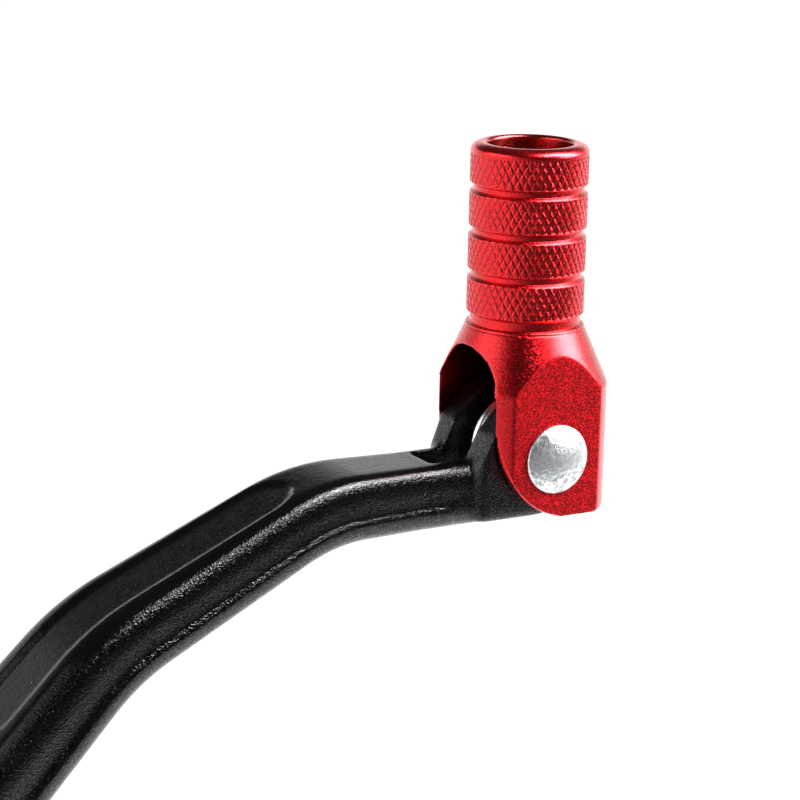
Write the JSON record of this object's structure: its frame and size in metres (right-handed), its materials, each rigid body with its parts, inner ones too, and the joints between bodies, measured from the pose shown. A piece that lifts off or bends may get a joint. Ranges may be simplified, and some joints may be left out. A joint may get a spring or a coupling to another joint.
{
  "type": "motorcycle gear shift lever",
  "caption": "Forged black arm that clamps onto a splined gear shaft, with a red knurled toe peg that folds on a sprung rivet hinge.",
  "frame": {"origin": "on the clamp boss's inboard face, 9.8 mm from the splined bore's axis on the side towards the toe peg", "axes": "+X from the clamp boss towards the toe peg, +Z along the bore's axis away from the engine, which is also the upright peg's axis, +Y completes the right hand"},
  "size_m": [0.1625, 0.0282, 0.107],
  "materials": {
    "black_arm": "satin black coating over a blasted forging",
    "red_peg": "red anodised over a fine blasted grain, polished at the rim",
    "rivet_steel": "bright pressed steel with fine scuffs",
    "spring_steel": "drawn spring wire",
    "sleeve_steel": "turned steel",
    "bolt_steel": "zinc plated"
  },
  "bodies": {
    "lever": {"lever_arm": "black_arm", "pinch_bolt": "bolt_steel", "pinch_washer": "bolt_steel", "torsion_spring": "spring_steel"},
    "peg": {"toe_peg": "red_peg", "pivot_rivet": "rivet_steel", "rivet_washer": "rivet_steel", "pivot_sleeve": "sleeve_steel"}
  },
  "joints": [
    {"name": "peg_fold", "type": "hinge", "parent": "lever", "child": "peg", "pos_m": [0.1182, 0, 0.06], "axis": [0, -1, 0], "range_deg": [0, 55], "deforming": ["torsion_spring"]}
  ]
}
